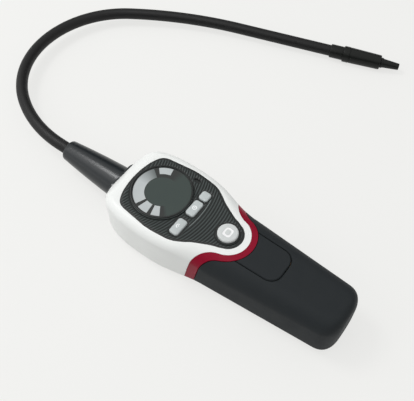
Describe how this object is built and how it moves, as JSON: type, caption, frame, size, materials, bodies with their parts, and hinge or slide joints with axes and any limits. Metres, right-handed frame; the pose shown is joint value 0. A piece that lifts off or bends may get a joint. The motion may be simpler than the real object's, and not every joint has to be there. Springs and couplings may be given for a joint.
{
  "type": "refrigerant leak detector",
  "caption": "Hand-held refrigerant leak detector: white head with a round display and keys, red trim, black battery grip and a bent gooseneck probe.",
  "frame": {"origin": "on the flat underside, below the widest part of the head on the body's centre line", "axes": "+X along the body towards the boot of the probe, +Z out of the display face, the underside lies on Z = 0"},
  "size_m": [0.3202, 0.2525, 0.0389],
  "materials": {
    "white_abs": "glossy moulded",
    "red_abs": "glossy moulded",
    "black_grip": "satin soft-touch",
    "plate_black": "ribbed satin",
    "smoked_lens": "smoked clear",
    "pale_diffuser": "translucent",
    "pale_rubber": "smooth silicone",
    "circuit_board": "solder mask",
    "dark_plastic": "matt",
    "steel": "bright zinc plate",
    "boot_rubber": "semi-gloss moulded",
    "neck_sleeve": "matt sleeve",
    "tip_plastic": "satin moulded",
    "socket_chrome": "polished plate",
    "blue_insulator": "moulded",
    "contact_brass": "gold flash",
    "sensor_can": "drawn can",
    "cell_can": "printed film over steel can"
  },
  "bodies": {
    "housing": {"upper_housing": "white_abs", "lower_housing": "white_abs", "trim_band": "red_abs", "faceplate": "plate_black", "display_lens": "smoked_lens", "light_top": "pale_diffuser", "light_arc": "pale_diffuser", "light_low_left": "pale_diffuser", "light_bottom": "pale_diffuser", "display_module": "circuit_board", "main_board": "circuit_board", "key_switches": "dark_plastic", "buzzer": "dark_plastic", "neck_nut": "steel", "neck_boot": "boot_rubber", "gooseneck": "neck_sleeve", "neck_ferrule": "tip_plastic", "socket_sleeve": "socket_chrome", "socket_insert": "dark_plastic", "insulator_ring": "blue_insulator", "contact_pins": "contact_brass", "sensor_cell": "sensor_can", "latch_pin": "steel", "battery_tray": "dark_plastic", "cell_1": "cell_can", "cell_2": "cell_can", "cell_3": "cell_can", "cell_4": "cell_can", "front_contacts": "steel", "rear_contacts": "steel", "housing_screws": "steel", "board_screws": "steel"},
    "sleeve": {"battery_sleeve": "black_grip"},
    "tab": {"latch_tab": "black_grip"},
    "small_key": {"key_small": "pale_rubber"},
    "middle_key": {"key_middle": "pale_rubber"},
    "lower_key": {"key_lower": "pale_rubber"},
    "power_key": {"power_button": "pale_rubber"},
    "cap": {"sensor_cap": "tip_plastic", "probe_nose": "tip_plastic"}
  },
  "joints": [
    {"name": "sleeve_slide", "type": "slide", "parent": "housing", "child": "sleeve", "axis": [-1, 0, 0], "range_m": [0, 0.1]},
    {"name": "tab_press", "type": "hinge", "parent": "housing", "child": "tab", "pos_m": [-0.0595, 0, 0.0314], "axis": [0, -1, 0], "range_deg": [0, 3], "stiffness_Nm_per_rad": 0.6},
    {"name": "small_key_press", "type": "slide", "parent": "housing", "child": "small_key", "axis": [0, 0, -1], "range_m": [0, 0.0006], "stiffness_N_per_m": 200},
    {"name": "middle_key_press", "type": "slide", "parent": "housing", "child": "middle_key", "axis": [0, 0, -1], "range_m": [0, 0.0006], "stiffness_N_per_m": 200},
    {"name": "lower_key_press", "type": "slide", "parent": "housing", "child": "lower_key", "axis": [0, 0, -1], "range_m": [0, 0.0006], "stiffness_N_per_m": 200},
    {"name": "power_press", "type": "slide", "parent": "housing", "child": "power_key", "axis": [0, 0, -1], "range_m": [0, 0.0008], "stiffness_N_per_m": 200},
    {"name": "cap_pull", "type": "slide", "parent": "housing", "child": "cap", "axis": [-0.9511, -0.3088, -0.0121], "range_m": [0, 0.035]}
  ]
}
